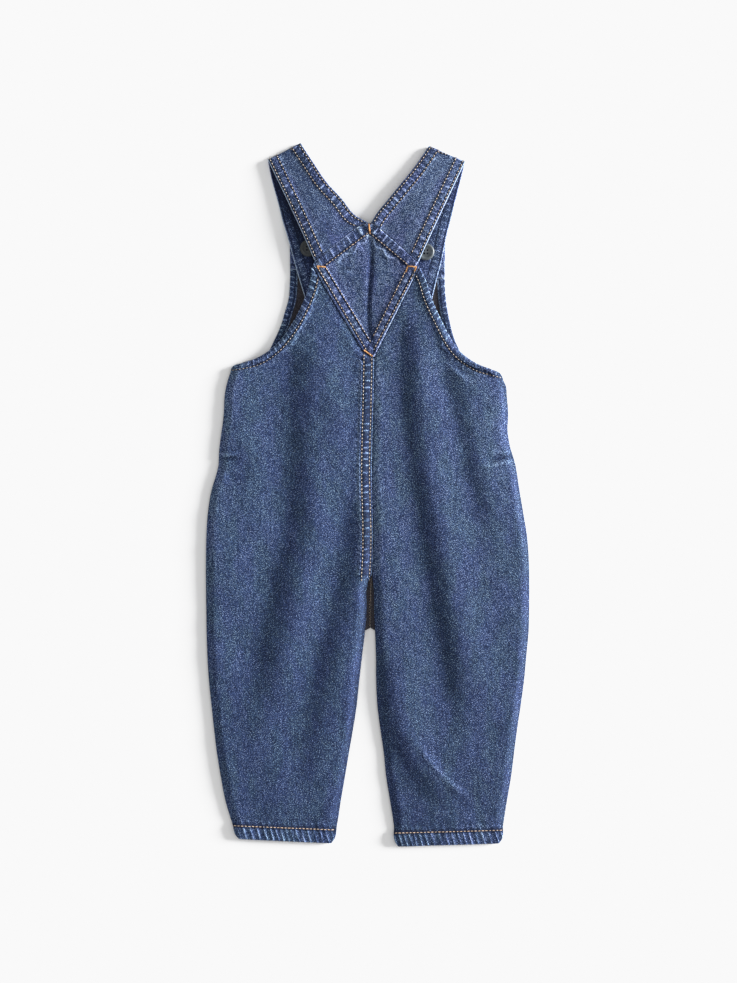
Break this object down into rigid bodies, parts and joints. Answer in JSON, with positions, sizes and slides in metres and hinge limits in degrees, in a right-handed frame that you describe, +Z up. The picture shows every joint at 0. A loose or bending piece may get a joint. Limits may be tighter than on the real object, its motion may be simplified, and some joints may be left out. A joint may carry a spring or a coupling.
{
  "type": "child's denim dungarees laid flat",
  "caption": "Child's denim dungarees laid flat on their front: straight legs, kite-shaped back yoke, and flared straps folded over at the shoulders and buttoned inside the bib.",
  "frame": {"origin": "centre of the bounding box in plan, on the surface that the garment lies on", "axes": "+Y from the leg hems to the straps, +Z up out of the surface, through the back of the garment, +X to the wearer's right"},
  "size_m": [0.2854, 0.6207, 0.0094],
  "materials": {
    "denim": "washed mid-blue cotton twill, matt, worn pale along its turned edges",
    "button_resin": "dark grey-green moulded resin, satin",
    "stitching": "tan topstitching thread"
  },
  "bodies": {
    "root": {"front_left": "denim", "front_right": "denim", "bib_facing": "denim", "back_left": "denim", "back_right": "denim", "back_yoke": "denim", "strap_left": "denim", "strap_right": "denim", "button_left": "button_resin", "button_right": "button_resin"}
  },
  "joints": []
}
